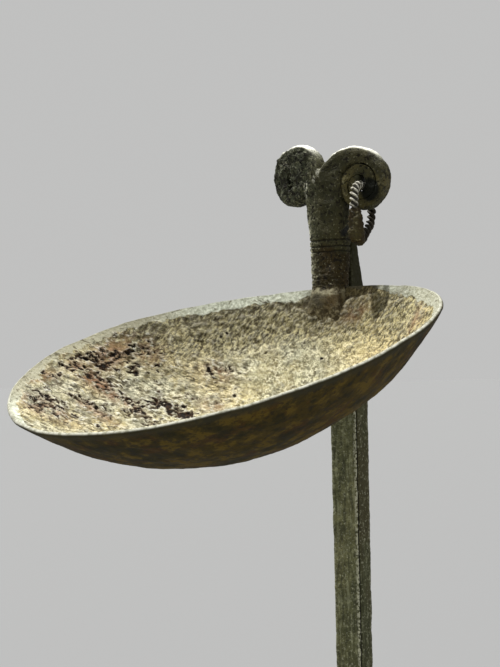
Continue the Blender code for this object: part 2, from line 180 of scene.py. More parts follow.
class Bench:
    # one material's nodes
    def __init__(self, name):
        self.material = bpy.data.materials.new(name)
        self.material.use_nodes = True
        self.tree = self.material.node_tree
        self.shader = self.tree.nodes["Principled BSDF"]
        self.place = self.node("ShaderNodeTexCoord", output="Object")

    def node(self, kind, settings=None, sockets=None, output=0):
        made = self.tree.nodes.new(kind)
        for name, value in (settings or {}).items():
            setattr(made, name, value)
        for name, value in (sockets or {}).items():
            self.feed(made.inputs[name], value)
        return Socket(self, made.outputs[output])

    def feed(self, target, value):
        if isinstance(value, Socket):
            self.tree.links.new(value.link, target)
        else:
            target.default_value = (*value, 1.0) if target.type == "RGBA" else value

    def maths(self, operation, first, second):
        return self.node("ShaderNodeMath", {"operation": operation}, {0: first, 1: second})

    def clouds(self, size, detail, roughness, stretch=(1, 1, 1), shift=(0, 0, 0), twist=0, lean=0, turn=0):
        # noise about 0..1 with features of the given size, drawn out along axes that lean and turn
        turned = (0, math.radians(lean), math.radians(turn))
        where = self.node("ShaderNodeMapping", {"vector_type": "TEXTURE"},
                          {"Vector": self.place, "Scale": stretch, "Location": shift, "Rotation": turned})
        return self.node("ShaderNodeTexNoise", {},
                         {"Vector": where, "Scale": 1 / (size * mm), "Detail": detail,
                          "Roughness": roughness, "Distortion": twist})

    def mask(self, name):
        return self.node("ShaderNodeAttribute", {"attribute_name": name}, output="Fac")

    def range(self, value, low, high, toLow=0, toHigh=1):
        return self.node("ShaderNodeMapRange", {"interpolation_type": "SMOOTHSTEP"},
                         {"Value": value, "From Min": low, "From Max": high,
                          "To Min": toLow, "To Max": toHigh})

    def blend(self, share, first, second):
        return self.node("ShaderNodeMix", {"data_type": "RGBA"}, {0: share, 6: first, 7: second}, 2)

    def grade(self, value, low, high, first, second):
        return self.blend(self.range(value, low, high), first, second)

    def over(self, colour, *coats):
        # each coat: a mask or value, the limits between which it rises if given, strength, colour;
        # with a second value before the limits, it is that value that rises, times the mask
        for source, *rise, strength, coat in coats:
            share = self.mask(source) if isinstance(source, str) else source
            if len(rise) == 3:
                share = share * self.range(*rise)
            elif rise:
                share = self.range(share, *rise)
            colour = self.blend(share * strength, colour, coat)
        return colour

    def facing(self, axis):
        # how far the surface faces one world axis, -1..1
        normal = self.node("ShaderNodeNewGeometry", output="Normal")
        return self.node("ShaderNodeSeparateXYZ", {}, {"Vector": normal}, axis)

    def finish(self, colour, fine, roughness, height, depth, shine):
        # the roughness runs between two values with the fine noise; depth is the relief's size
        normal = self.node("ShaderNodeBump", {}, {"Height": height, "Distance": depth * mm, "Strength": 1.0})
        self.shader.inputs["Specular IOR Level"].default_value = shine
        self.feed(self.shader.inputs["Base Color"], colour)
        self.feed(self.shader.inputs["Roughness"], self.range(fine, 0.3, 0.7, *roughness))
        self.feed(self.shader.inputs["Normal"], normal)
        return self.material


# camera and light, as in the photograph: from the front right, a little below the rim

view = {"turn": 37.2286, "climb": -1.8664, "roll": -1.15, "place": (0.27348, -0.413, 0.30017),
        "sensor": 36.0, "lens": 80.96}
light = {"sunTurn": 190, "sunClimb": 74, "sunAngle": 1.6, "sunStrength": 6.6, "sunColour": (1.0, 0.98, 0.93),
         "sky": (0.53, 0.53, 0.525), "floorColour": (0.182, 0.186, 0.193), "floorReach": 300.0,
         "floorRoughness": 0.9}


def setCamera():
    lens = bpy.data.cameras.new("camera")
    lens.lens = view["lens"]
    lens.sensor_width = view["sensor"]
    lens.sensor_fit = "AUTO"
    lens.clip_start = 0.01
    camera = bpy.data.objects.new("camera", lens)
    turns = (view["turn"], "Z"), (90 - view["climb"], "X"), (view["roll"], "Z")
    camera.matrix_world = Matrix.Translation(view["place"])
    for degrees, axis in turns:
        camera.matrix_world = camera.matrix_world @ Matrix.Rotation(math.radians(degrees), 4, axis)
    bpy.context.scene.collection.objects.link(camera)
    bpy.context.scene.camera = camera


def setLight():
    turn, climb = math.radians(light["sunTurn"]), math.radians(light["sunClimb"])
    toward = Vector((math.cos(turn) * math.cos(climb), math.sin(turn) * math.cos(climb), math.sin(climb)))
    lamp = bpy.data.lights.new("key", "SUN")
    lamp.energy = light["sunStrength"]
    lamp.angle = math.radians(light["sunAngle"])
    lamp.color = light["sunColour"]
    sun = bpy.data.objects.new("key", lamp)
    sun.rotation_euler = toward.to_track_quat("Z", "Y").to_euler()
    bpy.context.scene.collection.objects.link(sun)
    world = bpy.data.worlds.new("studio")
    world.use_nodes = True
    background = world.node_tree.nodes["Background"]
    background.inputs["Color"].default_value = (*light["sky"], 1.0)
    bpy.context.scene.world = world
    bpy.context.scene.view_settings.view_transform = "Standard"


def setFloor():
    reach = light["floorReach"]
    mesh = bpy.data.meshes.new("floor")
    corners = [(-reach, -reach, 0), (reach, -reach, 0), (reach, reach, 0), (-reach, reach, 0)]
    mesh.from_pydata(corners, [], [(0, 1, 2, 3)])
    floor = bpy.data.objects.new("floor", mesh)
    bpy.context.scene.collection.objects.link(floor)
    paint = bpy.data.materials.new("floor")
    paint.use_nodes = True
    shader = paint.node_tree.nodes["Principled BSDF"]
    shader.inputs["Base Color"].default_value = (*light["floorColour"], 1.0)
    shader.inputs["Roughness"].default_value = light["floorRoughness"]
    mesh.materials.append(paint)


# the bowl: a turned form, hammered out of round, hanging down at the front

bowl = {"rimHeight": 330.1, "radius": 65.5, "depth": 30.9, "fullness": 2.29, "bottom": 1.052,
        "droop": 19.5, "bellyShift": 4.9, "rimBack": -6.4, "rimWall": 1.3, "wall": 2.2,
        "lipBand": 4.0, "roundness": (0.0204, 3, 135), "saddle": (0.0159, 2, -7.6),
        "ripple": (0.0052, 3, 134), "wobble": 0.07, "wobbleReach": 6, "rimBulge": 0.22, "rimWear": 0.3,
        "hammering": 0.1, "dents": 0.035, "pitDepth": 0.08, "rowCrowding": 1.25,
        "insideCells": 300, "outsideSegments": 720, "outsideRows": 64, "rimRows": 8}


def outerWall(share):
    share = np.clip(share, 0.0, 1.0)
    height = -bowl["depth"] * (1 - share ** bowl["fullness"]) ** (1 / bowl["bottom"])
    return bowl["radius"] * share, height


def innerWall(share):
    step = 0.002
    highRadius, highHeight = outerWall(share + step)
    lowRadius, lowHeight = outerWall(share - step)
    run = unit(np.stack([highRadius - lowRadius, highHeight - lowHeight], axis=-1))
    belowLip = (1 - share) * bowl["radius"] / bowl["lipBand"]
    wall = mix(bowl["rimWall"], bowl["wall"], ramp(belowLip, 0, 2))
    radius, height = outerWall(share)
    return np.maximum(radius - run[..., 1] * wall, 0.0), height + run[..., 0] * wall


def forged(radius, height, bearing):
    # places on the bowl before it droops: lobes pull its round and its level a little
    waves = bowl["roundness"], bowl["saddle"], bowl["ripple"]
    outward, saddle, ripple = (size * np.cos(lobes * bearing - math.radians(first))
                               for size, lobes, first in waves)
    reach = radius * (1 + outward)
    shift = bowl["bellyShift"] * np.maximum(-height, 0.0) / bowl["depth"]
    lift = (saddle + ripple) * radius
    return np.stack([reach * np.cos(bearing), reach * np.sin(bearing) + shift, height + lift], axis=-1)


def bowlToWorld(places):
    droop = math.radians(bowl["droop"])
    sine, cosine = math.sin(droop), math.cos(droop)
    axes = np.array([(1, 0, 0), (0, cosine, sine), (0, -sine, cosine)])
    rimBack = forged(bowl["radius"], 0.0, math.pi / 2)
    return places @ axes + np.array([0, bowl["rimBack"], bowl["rimHeight"]]) - rimBack @ axes


def rimWobble(bearing):
    # small unevenness of the hammered edge, the same for the inside and the outside
    edge = np.stack([np.cos(bearing), np.sin(bearing), np.zeros_like(bearing)], axis=-1)
    return bowl["wobble"] * lumps(edge * bowl["radius"], 10, 3, 4.7)


def moveBowl(mesh, points, normals, relief, wobble, rimDistance):
    up = bowlToWorld(np.array([0, 0, 1])) - bowlToWorld(np.zeros(3))
    wobble = wobble * (1 - ramp(rimDistance, 0, bowl["wobbleReach"]))
    movePoints(mesh, points + normals * relief[:, None] + up * wobble[:, None])


# how the crust's noises are drawn out and turned, and how much its relief stands out
crust = {"upright": {"lean": 0, "stretch": (1, 3, 1), "turn": 37},
         "blades": {"lean": 38, "stretch": (1, 3, 2.1), "turn": 37},
         "streaks": {"lean": 20, "stretch": (2.4, 3, 1), "turn": 37},
         "lumps": (0.11, 0.05, 0.02, 0.02), "bladeHeight": 0.12, "scaleHeights": (0.14, 0.11, 0.12),
         "flakeHeight": 0.12, "pitDepth": 0.6, "pitScatter": (2.9, 1.0), "swell": 0.16,
         "lipHeight": 0.05, "lipWidth": 1.95, "lipLoss": 1.9}
# where the photograph shows each kind of mark: across, back, half width, half height, weight
marks = {
    "pits": ((-57, 12, 5, 12, 1.0), (-38, 8, 9, 7, 0.8), (-28, 9, 6, 6, 0.8), (-42, 2, 5, 4, 0.8),
             (-50, -23, 8, 6, 1.0), (-46, -31, 5, 6, 1.0), (-54, 1, 7, 4, 0.9), (-47, -11, 9, 4, 0.8),
             (-34, -2, 8, 4, 0.7), (-50, 24, 8, 8, 0.7), (-30, 33, 7, 5, 0.5), (-20, 20, 7, 7, 0.3),
             (-60, -15, 3, 14, 0.7), (-40, -18, 6, 6, 0.5)),
    "bigPits": ((-38, 8, 1.5, 2.2), (-42.3, 3, 1.3, 2.6), (-36, 10.5, 1.6, 1.2), (-28, 8.5, 1.6, 1.8),
                (-31, 11.5, 0.8, 2.4), (-26, 11.5, 1.1, 1.1), (-52, -24, 2.6, 1.3), (-50, -29, 1.4, 0.8),
                (-46.5, -30, 1.1, 3.6), (-45, -35, 1.4, 1.4), (-47.5, -26, 1.4, 1.6), (-56, 2, 1.4, 1.1),
                (-50, 3, 1.6, 1.0), (-62, 3, 1.0, 2.4), (-57, 8, 1.5, 2.0), (-52, 17.5, 1.2, 1.2),
                (-56, 15, 1.4, 1.8), (-50, 14.5, 1.0, 2.0), (-48, -11, 2.6, 0.9), (-41.5, -12, 1.0, 2.2),
                (-44, -8.5, 1.0, 1.2), (-38, 0.5, 1.6, 0.9), (-34, -1, 2.2, 0.8), (-32, -4.5, 1.0, 1.8),
                (-39.5, -3, 0.9, 1.4), (-60, -2, 1.2, 2.6), (-58.5, -11, 1.1, 1.4), (-60, 9, 1.0, 1.4),
                (-31, 18, 0.9, 0.9), (-34, 15, 1.0, 0.8), (-46, 21, 0.9, 1.2), (-51, 25, 1.2, 1.8),
                (-23, 21, 0.8, 0.9), (-32, 31, 0.9, 2.0), (-27, 33, 1.0, 1.4), (-43, -23, 1.0, 1.0)),
    "rust": ((-53, 0, 9, 3.5, 1.0), (-57, 14, 4, 8, 0.8), (-46, -31, 6, 6, 0.9), (-60, -18, 2.5, 9, 0.8),
             (42, 41, 2, 5, 0.7), (-43, -13, 7, 3, 0.7), (-23, 18, 5, 4, 0.5), (-50, 24, 5, 5, 0.5),
             (-30, 32, 5, 3, 0.5), (-39, 0, 6, 2, 0.4), (45, 36, 2, 4, 0.3), (12, 56, 5, 2, 0.4)),
    "cool": ((-9, 44, 9, 8, 0.8), (-44, 13, 11, 9, 0.8), (-38, 21, 7, 5, 0.6), (-47, -6, 8, 4, 0.5),
             (-2, 60, 8, 4, 0.6), (-50, 5, 7, 4, 0.5), (-12, 33, 10, 4, 0.6), (6, 42, 8, 4, 0.5),
             (-52, -18, 6, 4, 0.5)),
    "warm": ((-35, 27, 10, 6, 0.9), (28, 39, 14, 5, 1.0), (-38, -25, 5, 9, 0.8), (46, 36, 6, 9, 1.0),
             (-52, -5, 5, 3, 0.9), (18, 47, 12, 5, 0.6), (-45, -38, 8, 6, 0.7), (-22, 26, 7, 4, 0.5)),
    # dim: darker patches on the back and left walls under the rim, painted shade with some of the crust's
    # darker tone
    "dim": ((-45, 44, 9, 7, 0.9), (-33, 52, 11, 6, 0.9), (-19, 59, 11, 5, 0.9), (-55, 28, 5, 9, 0.8),
            (-6, 60, 8, 5, 0.8), (2, 61, 12, 5, 0.8), (-60, 14, 3, 8, 0.5), (-50, 32, 5, 4, 0.4)),
    # shade: painted shadows of the neck, the scrolls and the ring on the inside wall, the lip and the rim's
    # top
    "shade": ((-2, 58, 7, 5, 1.0), (9, 57, 8, 5, 1.0), (-2, 63, 7, 3, 0.8),
              (8, 64, 8, 4, 1.0), (14, 63, 9, 4, 0.8), (27, 56, 7, 4, 0.6)),
    # lit: painted pools of light on the crust
    "lit": ((-26, 42, 8, 4, 0.4), (-14, 47, 8, 4, 0.4), (-4, 48, 6, 3, 0.3), (-38, 33, 6, 5, 0.4),
            (-50, -26, 6, 7, 1.0), (-45, -33, 6, 5, 1.0), (-50, -11, 7, 5, 0.8), (-46, 3, 8, 5, 1.0),
            (-37, 9, 6, 6, 0.5), (43, 42, 5, 4, 0.8)),
}


def patches(name, across, back):
    total = np.zeros_like(across)
    for x, y, width, height, weight in marks[name]:
        total += weight * bell(across - x, width) * bell(back - y, height)
    return total


def evenShare(reach):
    # the share of the radius where the inside wall has run the given share of its length
    shares = np.linspace(0, 1, 400)
    radius, height = innerWall(shares)
    run = np.concatenate([[0], np.cumsum(np.hypot(np.diff(radius), np.diff(height)))])
    return np.interp(reach, run / run[-1], shares)


def insideGrid():
    # an even square net bent onto the round inside
    count = bowl["insideCells"]
    line = np.linspace(-1, 1, count + 1)
    a, b = np.meshgrid(line, line)
    wide = np.abs(a) > np.abs(b)
    safeA, safeB = np.where(a == 0, 1.0, a), np.where(b == 0, 1.0, b)
    reach = np.where(wide, a, b)
    angle = np.where(wide, math.pi / 4 * b / safeA, math.pi / 2 - math.pi / 4 * a / safeB)
    x, y = (reach * np.cos(angle)).ravel(), (reach * np.sin(angle)).ravel()
    return evenShare(np.hypot(x, y)), np.arctan2(y, x), gridFaces(count + 1, count + 1)


def softened(values, rounds):
    # each value of a square net averaged with its neighbours, again and again
    net = values.reshape(bowl["insideCells"] + 1, -1)
    for _ in range(rounds):
        wide = np.pad(net, 1, mode="edge")
        net = (wide[:-2, 1:-1] + wide[2:, 1:-1] + wide[1:-1, :-2] + wide[1:-1, 2:] + net) / 5
    return net.ravel()


def steepness(values):
    cell = 2 * bowl["radius"] / bowl["insideCells"]
    return np.hypot(*np.gradient(values.reshape(bowl["insideCells"] + 1, -1), cell)).ravel()


def makeInside(material):
    share, bearing, faces = insideGrid()
    flat = forged(*innerWall(share), bearing)
    points = bowlToWorld(flat)
    mesh = meshFrom("bowlInside", points, faces)
    normals = normalsToward(mesh, np.array([0, 0, 1]))
    across, back = flat[:, 0], flat[:, 1]
    rimDistance = (1 - share) * bowl["radius"]
    away = ramp(rimDistance, 0.4, 1.6)   # the lip itself is hammered smooth
    leftEnd, rightEnd = ramp(-across, 40, 18), ramp(across, 22, 20)
    lipWidth = crust["lipWidth"] - 0.2 * leftEnd + 0.6 * rightEnd
    lipWidth -= crust["lipLoss"] * bell(across - 8, 10) * ramp(back, 0, 20)   # crusted over at the neck
    lipWidth += 0.2 * lumps(points, 3, 3, 1.3) + 0.3 * lumps(points, 11, 2, 4.0)
    underLip = (lipWidth - rimDistance) / 3
    lip = ramp(underLip, -0.08, 0.16)
    density = np.clip(patches("pits", across, back), 0, 1)
    big, middle = lumps(points, 5.2, 3, 3.1), lumps(points, 2.6, 4, 9.4)
    small, fine = lumps(points, 1.4, 3, 5.5), lumps(points, 0.8, 2, 15.5)
    blades = lumps(leaned(points, **crust["blades"]), 0.85, 2, 2.6)
    streaks = lumps(leaned(points, **crust["streaks"]), 1.2, 3, 7.2)
    # the back wall is crusted with blades, the left side with flaking scale
    rough = ramp(share, 0.66, 0.16) * ramp(back, 12, 14)
    flaky = ramp(-across, 8, 24) * (1 - 0.8 * rough)
    scatter = middle * 0.5 + streaks * 0.75 + big * 0.3
    limit = mix(*crust["pitScatter"], density)
    pitEdge = scatter - limit
    wander = np.stack([lumps(points, 1.5, 4, 11.0), lumps(points, 1.5, 4, 17.0)]) * 0.9
    for x, y, width, tall in marks["bigPits"]:
        span = np.hypot((across + wander[0] - x) / width, (back + wander[1] - y) / tall)
        pitEdge = np.maximum(pitEdge, (1 - span) * 1.2)
    pitEdge = pitEdge - 3 * lip
    pits = ramp(pitEdge, 0, 0.3)
    flake = ramp(scatter, limit - 1.1, 0.2) * (1 - pits) * ramp(density, 0, 0.4)
    relief = sum(size * lump for size, lump in zip(crust["lumps"], (big, middle, small, fine)))
    relief += rough * (0.05 * middle + crust["bladeHeight"] * ramp(blades, -0.4, 0.8))
    # scale that has broken away along ragged lines: flat above, flat below
    scales = ramp(big, 0.3, 0.15), ramp(middle, 0.3, 0.16), ramp(streaks, 0.2, 0.3)
    relief += flaky * sum(size * scale for size, scale in zip(crust["scaleHeights"], scales))
    relief += crust["flakeHeight"] * flake - crust["pitDepth"] * pits
    relief *= away * (1 - 0.85 * lip)
    relief += crust["swell"] * lumps(points, 16, 2, 2.0) * ramp(rimDistance, 0, 9)
    relief += crust["lipHeight"] * lip * away
    moveBowl(mesh, points, normals, relief, rimWobble(bearing), rimDistance)
    keep(mesh, pitEdge=0.5 + 0.5 * pitEdge, density=density, flake=flake, lipEdge=0.5 + underLip,
         rough=rough, flaky=flaky, ends=leftEnd + 0.6 * rightEnd)
    # low and high: the relief's hollows, kept for painted shade, and its raised bits, kept for a painted
    # highlight; steep: its steep sides, kept for painted shade
    inward = ramp(rimDistance, 1.2, 2)
    low = (softened(relief, 5) - relief) / 0.14 * inward
    keep(mesh, low=low, high=-low, steep=(steepness(relief) / 0.9 - 0.3) * inward)
    # dim, shade and lit carry painted shade, painted shadows and painted light; rust, cool and warm are the
    # crust's own colours
    kinds = ("rust", "cool", "warm", "dim", "shade", "lit")
    keep(mesh, **{kind: patches(kind, across, back) for kind in kinds})
    addPiece("bowlInside", mesh, material, "crusted_iron", "bowl")


def makeOutside(material):
    rimRows, rows, segments = bowl["rimRows"], bowl["outsideRows"], bowl["outsideSegments"]
    inner, outer = np.array(innerWall(1.0)), np.array(outerWall(1.0))
    run = outer - inner
    out = np.array([-run[1], run[0]]) / np.hypot(*run)
    steps = np.arange(rimRows + 1) / rimRows
    # worn most at its outer corner
    bulge = bowl["rimBulge"] * np.sin(math.pi * steps) ** 0.8 - bowl["rimWear"] * steps ** 2
    rim = inner[:, None] + run[:, None] * steps + out[:, None] * bulge
    shares = 1 - (np.arange(1, rows + 1) / rows) ** bowl["rowCrowding"]
    radii, heights = np.concatenate([rim, outerWall(shares)], axis=1)
    bearing = np.linspace(-math.pi, math.pi, segments, endpoint=False)
    flat = forged(radii[:, None], heights[:, None], bearing).reshape(-1, 3)
    points = bowlToWorld(flat)
    mesh = meshFrom("bowlOutside", points, gridFaces(len(radii), segments, wrapColumns=True))
    normals = normalsToward(mesh, np.array([0, 0, -1]))
    fromRim = np.concatenate([np.zeros(rimRows + 1), (1 - shares) * bowl["radius"]])
    rimDistance = np.repeat(fromRim, segments)
    relief = bowl["hammering"] * lumps(points, 13, 2, 6.0) + bowl["dents"] * lumps(points, 3, 3, 8.0)
    relief -= bowl["pitDepth"] * ramp(lumps(points, 1.6, 2, 7.0), 1.3, 0.5)
    relief *= ramp(rimDistance, 0.4, 5)
    moveBowl(mesh, points, normals, relief, np.tile(rimWobble(bearing), len(radii)), rimDistance)
    row = np.repeat(np.arange(len(radii)), segments)
    # at the left the rim's pale top band is widened and its outer edge lightened, a painted highlight; shade
    # is the neck's painted shadow on the rim's top
    leftRim = ramp(-flat[:, 0], 25, 20)
    keep(mesh, lip=1 - ramp(row / rimRows, 0.45 + 0.75 * leftRim, 0.35), leftRim=leftRim,
         edge=1 - ramp(rimDistance, 0.4, 1.8), shade=patches("shade", flat[:, 0], flat[:, 1]))
    addPiece("bowlOutside", mesh, material, "crusted_iron", "bowl")


# the neck and its two scrolls: one cage, rounded by subdivision, then pitted

# side, width and depth at the foot and at the top; bands: height, depth; holes: side, height, half width,
# half height, depth, sharpness; flecks: side, height, half width, half height
neck = {"height": 38.2, "side": (-1.5, -1.6), "width": (12.9, 15.2), "depth": (5.7, 6.7), "corner": 1.4,
        "footCorner": 2.7, "slit": 1.2, "touch": 0.3, "touchHeight": 8.0, "stakeFront": -4.0,
        "rootLength": 11.0, "rootWidth": 14.5, "rootSteps": 6, "rootSwell": 0.35, "splitSide": -2.9,
        "bands": ((12.1, 0.34), (13.8, 0.4), (15.9, 0.42), (1.5, 0.1), (3.2, 0.14), (4.9, 0.14)),
        "bandWidth": 0.3, "pitDepth": 0.24, "notchDepth": 0.6, "notchBack": -7.4, "notchHeight": 18.6,
        "shut": 0.35, "outerTurn": 8.6, "coilTurn": 6.6,
        "holes": ((-16.2, 35.6, 1.5, 2.1, 2.4, 0.3), (-17.2, 39.0, 2.8, 2.4, 0.45, 1.0)),
        "flecks": ((-8.3, 34.2, 0.9, 1.1), (-8.6, 31.0, 0.8, 1.3), (-3.0, 38.4, 0.5, 1.6),
                   (-4.6, 35.8, 0.5, 1.3)),
        "acrossSteps": 3, "alongSteps": 3, "subdivisions": 2,
        # heights of the cage's rings: from, to, step
        "rings": ((0.4, 6.4, 0.5), (7.4, 10.6, 1.2), (11.2, 16.8, 0.35), (18.0, 37.0, 1.6))}
# course: how far the outside of the strip lies from the eye at each bearing, in parts of the size
scrolls = {
    "right": {"hand": 1, "eye": (12.5, -10.0, 32.2), "splay": 10, "size": 21.0,
              "depth": 6.2, "corner": 0.4, "edge": 2.0, "topGap": 0.1, "seam": 0.05, "eyeRadius": 1.8,
              "course": ((35, 0.77), (62, 0.69), (90, 0.63), (140, 0.5), (180, 0.42), (225, 0.368),
                         (270, 0.352), (360, 0.33), (405, 0.362), (450, 0.356), (540, 0.258), (630, 0.2),
                         (720, 0.2), (810, 0.19))},
    "left": {"hand": -1, "eye": (-16.6, -8.0, 36.4), "splay": 20, "size": 21.0,
             "depth": 6.2, "corner": 0.15, "edge": 1.8, "topGap": -0.3, "seam": -0.5, "eyeRadius": 1.0,
             "course": ((20, 0.686), (52, 0.66), (90, 0.555), (140, 0.56), (180, 0.47), (225, 0.41),
                        (270, 0.385), (330, 0.438), (360, 0.447), (405, 0.42), (450, 0.395), (500, 0.37),
                        (540, 0.305), (630, 0.22), (720, 0.257), (810, 0.2))},
}


def through(stops, place):
    # a smooth curve through (place, value) stops
    places, values = zip(*stops)
    if not places[0] < place < places[-1]:
        return values[0] if place <= places[0] else values[-1]
    index = max(number for number in range(len(stops) - 1) if places[number] <= place)
    span = places[index + 1] - places[index]

    def slope(number):
        before, after = max(number - 1, 0), min(number + 1, len(stops) - 1)
        return (values[after] - values[before]) / (places[after] - places[before]) * span

    share = (place - places[index]) / span
    square, cube = share ** 2, share ** 3
    return ((2 * cube - 3 * square + 1) * values[index] + (cube - 2 * square + share) * slope(index)
            + (3 * square - 2 * cube) * values[index + 1] + (cube - square) * slope(index + 1))


def fourCorners(centre, across, along, radii):
    # rounded corners in the order round the bar, from the outer front one
    arcs = []
    for corner, first, second in zip(radii, (1, -1, -1, 1), (1, 1, -1, -1)):
        unitAcross, unitAlong = across.normalized() * first, along.normalized() * second
        heart = centre + across * first + along * second - (unitAcross + unitAlong) * corner
        arc = [heart + (unitAcross * math.cos(angle) + unitAlong * math.sin(angle)) * corner
               for angle in (0, math.pi / 4, math.pi / 2)]
        arcs.append(arc if first == second else arc[::-1])
    return arcs


def between(first, second, count):
    return [first.lerp(second, (number + 1) / (count + 1)) for number in range(count)]


def joined(parts, counts):
    # runs of points one after another, with points between them, back to the first
    loop = []
    for part, after, count in zip(parts, parts[1:] + parts[:1], counts):
        loop += part + between(part[-1], after[0], count)
    return loop


def barSection(centre, across, along, outerCorner, innerCorner):
    # a rounded rectangle from its outer front corner, with points along the sides
    largest = 0.9 * min(across.length, along.length)
    outer, inner = min(outerCorner, largest), min(innerCorner, largest)
    a, b = neck["acrossSteps"], neck["alongSteps"]
    return joined(fourCorners(centre, across, along, (outer, inner, inner, outer)), (a, b, a, b))


def neckMeasures(height):
    # side, width, front and back at a height above the rim
    share = min(height / neck["height"], 1)
    back = neck["stakeFront"] - mix(neck["slit"], neck["touch"], min(height / neck["touchHeight"], 1))
    side, width, depth = (mix(*neck[name], share) for name in ("side", "width", "depth"))
    return side, width, back - depth, back


def neckRing(side, width, front, back, split, frontCorner):
    # the split's front point, round the left half to its back point, and round the right half
    a, b = neck["acrossSteps"], neck["alongSteps"]
    centre = (front + back) / 2 + Vector((side, 0, 0))
    across, along = Vector((width / 2, 0, 0)), (front - back) / 2
    radii = [min(frontCorner, along.length)] * 2 + [neck["corner"]] * 2
    frontRight, frontLeft, backLeft, backRight = fourCorners(centre, across, along, radii)
    frontSplit, backSplit = ([Vector((split, end.y, end.z))] for end in (front, back))
    return joined([frontSplit, frontLeft, backLeft, backSplit, backRight, frontRight], (a, b, a, a, b, a))


def neckRings():
    side, width, front, back = neckMeasures(0)
    rim, steps = bowl["rimHeight"], neck["rootSteps"]
    walls = []
    for number in range(steps + 1):
        share = 1 - neck["rootLength"] / bowl["radius"] * number / steps
        places = [forged(*wall(share), math.pi / 2) for wall in (outerWall, innerWall)]
        walls.append([Vector(bowlToWorld(place)) for place in places])
    rings = []
    for number in range(steps, 0, -1):
        share = number / steps
        fade = float(easeIn(share))
        outside, inside = walls[number]
        wall = inside - outside
        frontPoint = (Vector((0, front, rim)) - walls[0][1]).lerp(wall * -0.3, fade) + inside
        frontPoint += wall.normalized() * neck["rootSwell"] * math.sin(math.pi * share) ** 2
        backPoint = (Vector((0, back, rim)) - walls[0][0]).lerp(wall * 0.3, fade) + outside
        rootWidth = mix(width, neck["rootWidth"], share)
        rings.append(neckRing(side, rootWidth, frontPoint, backPoint, side, neck["footCorner"]))
    heights = [0.0]
    for low, high, step in neck["rings"]:
        heights += list(np.arange(low, high, step))
    heights.append(neck["height"])
    for height in heights:
        side, width, front, back = neckMeasures(height)
        split = mix(side, neck["splitSide"], float(easeIn(height / neck["height"])))
        frontCorner = mix(neck["footCorner"], neck["corner"], float(ramp(height, 8, 26)))
        ends = (Vector((0, place, rim + height)) for place in (front, back))
        rings.append(neckRing(side, width, *ends, split, frontCorner))
    return rings


def stripRings(scroll):
    neckFront, neckRear = neckMeasures(neck["height"])[2:]
    hand, size, course = scroll["hand"], scroll["size"], scroll["course"]
    splay = math.radians(scroll["splay"])
    eye = Vector(scroll["eye"]) + Vector((0, 0, bowl["rimHeight"]))
    plain = Vector((eye.x, neckFront, eye.z)), Vector((hand, 0, 0)), Vector((0, -1, 0))
    turned = (eye, Vector((hand * math.cos(splay), math.sin(splay), 0)),
              Vector((hand * math.sin(splay), -math.cos(splay), 0)))
    first, last = course[0][0], course[-1][0]
    count = round((last - first) / 10)
    rings = []
    for number in range(count + 1):
        bearing = mix(first, last, number / count)
        buried = float(ramp(bearing, 360 + first, 60))
        outer = through(course, bearing) * size
        gap = mix(scroll["topGap"], scroll["seam"], float(ramp(bearing, 90, 70)))
        gap -= neck["shut"] * buried   # the inmost turns are forged shut
        inner = through(course, bearing + 360) * size + gap
        if bearing + 360 > last:
            inner = mix(course[-1][1] * size + gap, scroll["eyeRadius"], float(ramp(bearing, last - 360, 90)))
        swing = float(ramp(bearing, first, 110 - first))   # from the neck's plane into the scroll's
        depth = mix(neckRear - neckFront, scroll["depth"], swing)
        angle = math.radians(bearing)
        made = []
        for origin, way, normal in (plain, turned):
            ray = Vector((0, 0, math.sin(angle))) - way * math.cos(angle)
            made.append((origin + ray * (outer + inner) / 2 - normal * depth / 2, ray, normal))
        centre, ray, normal = (one.lerp(other, swing) for one, other in zip(*made))
        outerCorner = mix(mix(neck["corner"], scroll["edge"], swing), scroll["corner"], buried)
        innerCorner = mix(neck["corner"], scroll["corner"], swing)
        across, along = ray.normalized() * (outer - inner) / 2, normal.normalized() * depth / 2
        rings.append(barSection(centre, across, along, outerCorner, innerCorner))
    return rings


def neckCage():
    shape = bmesh.new()
    a, b = neck["acrossSteps"], neck["alongSteps"]

    def addRings(rings):
        made = [[shape.verts.new(point * mm) for point in ring] for ring in rings]
        for first, second in zip(made, made[1:]):
            for number in range(len(first)):
                after = (number + 1) % len(first)
                shape.faces.new((first[number], first[after], second[after], second[number]))
        return made

    rings = addRings(neckRings())
    shape.faces.new(rings[0])
    top = rings[-1]
    half = a + 3 + b + 3 + a
    frontSplit, backSplit = top[0], top[1 + half]
    valley = [shape.verts.new(place) for place in between(backSplit.co, frontSplit.co, b)]
    leftHalf, rightHalf = top[1:1 + half], top[2 + half:][::-1]
    for name, seatHalf in (("left", leftHalf), ("right", rightHalf)):
        strip = addRings(stripRings(scrolls[name]))
        seat = [frontSplit] * 3 + seatHalf + [backSplit] * 3 + valley
        for number in range(len(seat)):
            after = (number + 1) % len(seat)
            corners = [seat[number], seat[after], strip[0][after], strip[0][number]]
            corners = [corner for place, corner in enumerate(corners) if corner not in corners[:place]]
            if len(corners) > 2:
                shape.faces.new(corners)
        shape.faces.new(strip[-1])
    bmesh.ops.recalc_face_normals(shape, faces=shape.faces)
    mesh = bpy.data.meshes.new("neckCage")
    shape.to_mesh(mesh)
    shape.free()
    return mesh


def rounded(mesh, levels):
    # the cage after its subdivision, as a plain mesh
    cage = bpy.data.objects.new("cage", mesh)
    bpy.context.scene.collection.objects.link(cage)
    smooth = cage.modifiers.new("rounding", "SUBSURF")
    smooth.levels = smooth.render_levels = levels
    bpy.context.view_layer.update()
    made = bpy.data.meshes.new_from_object(cage.evaluated_get(bpy.context.evaluated_depsgraph_get()))
    bpy.data.objects.remove(cage)
    return made


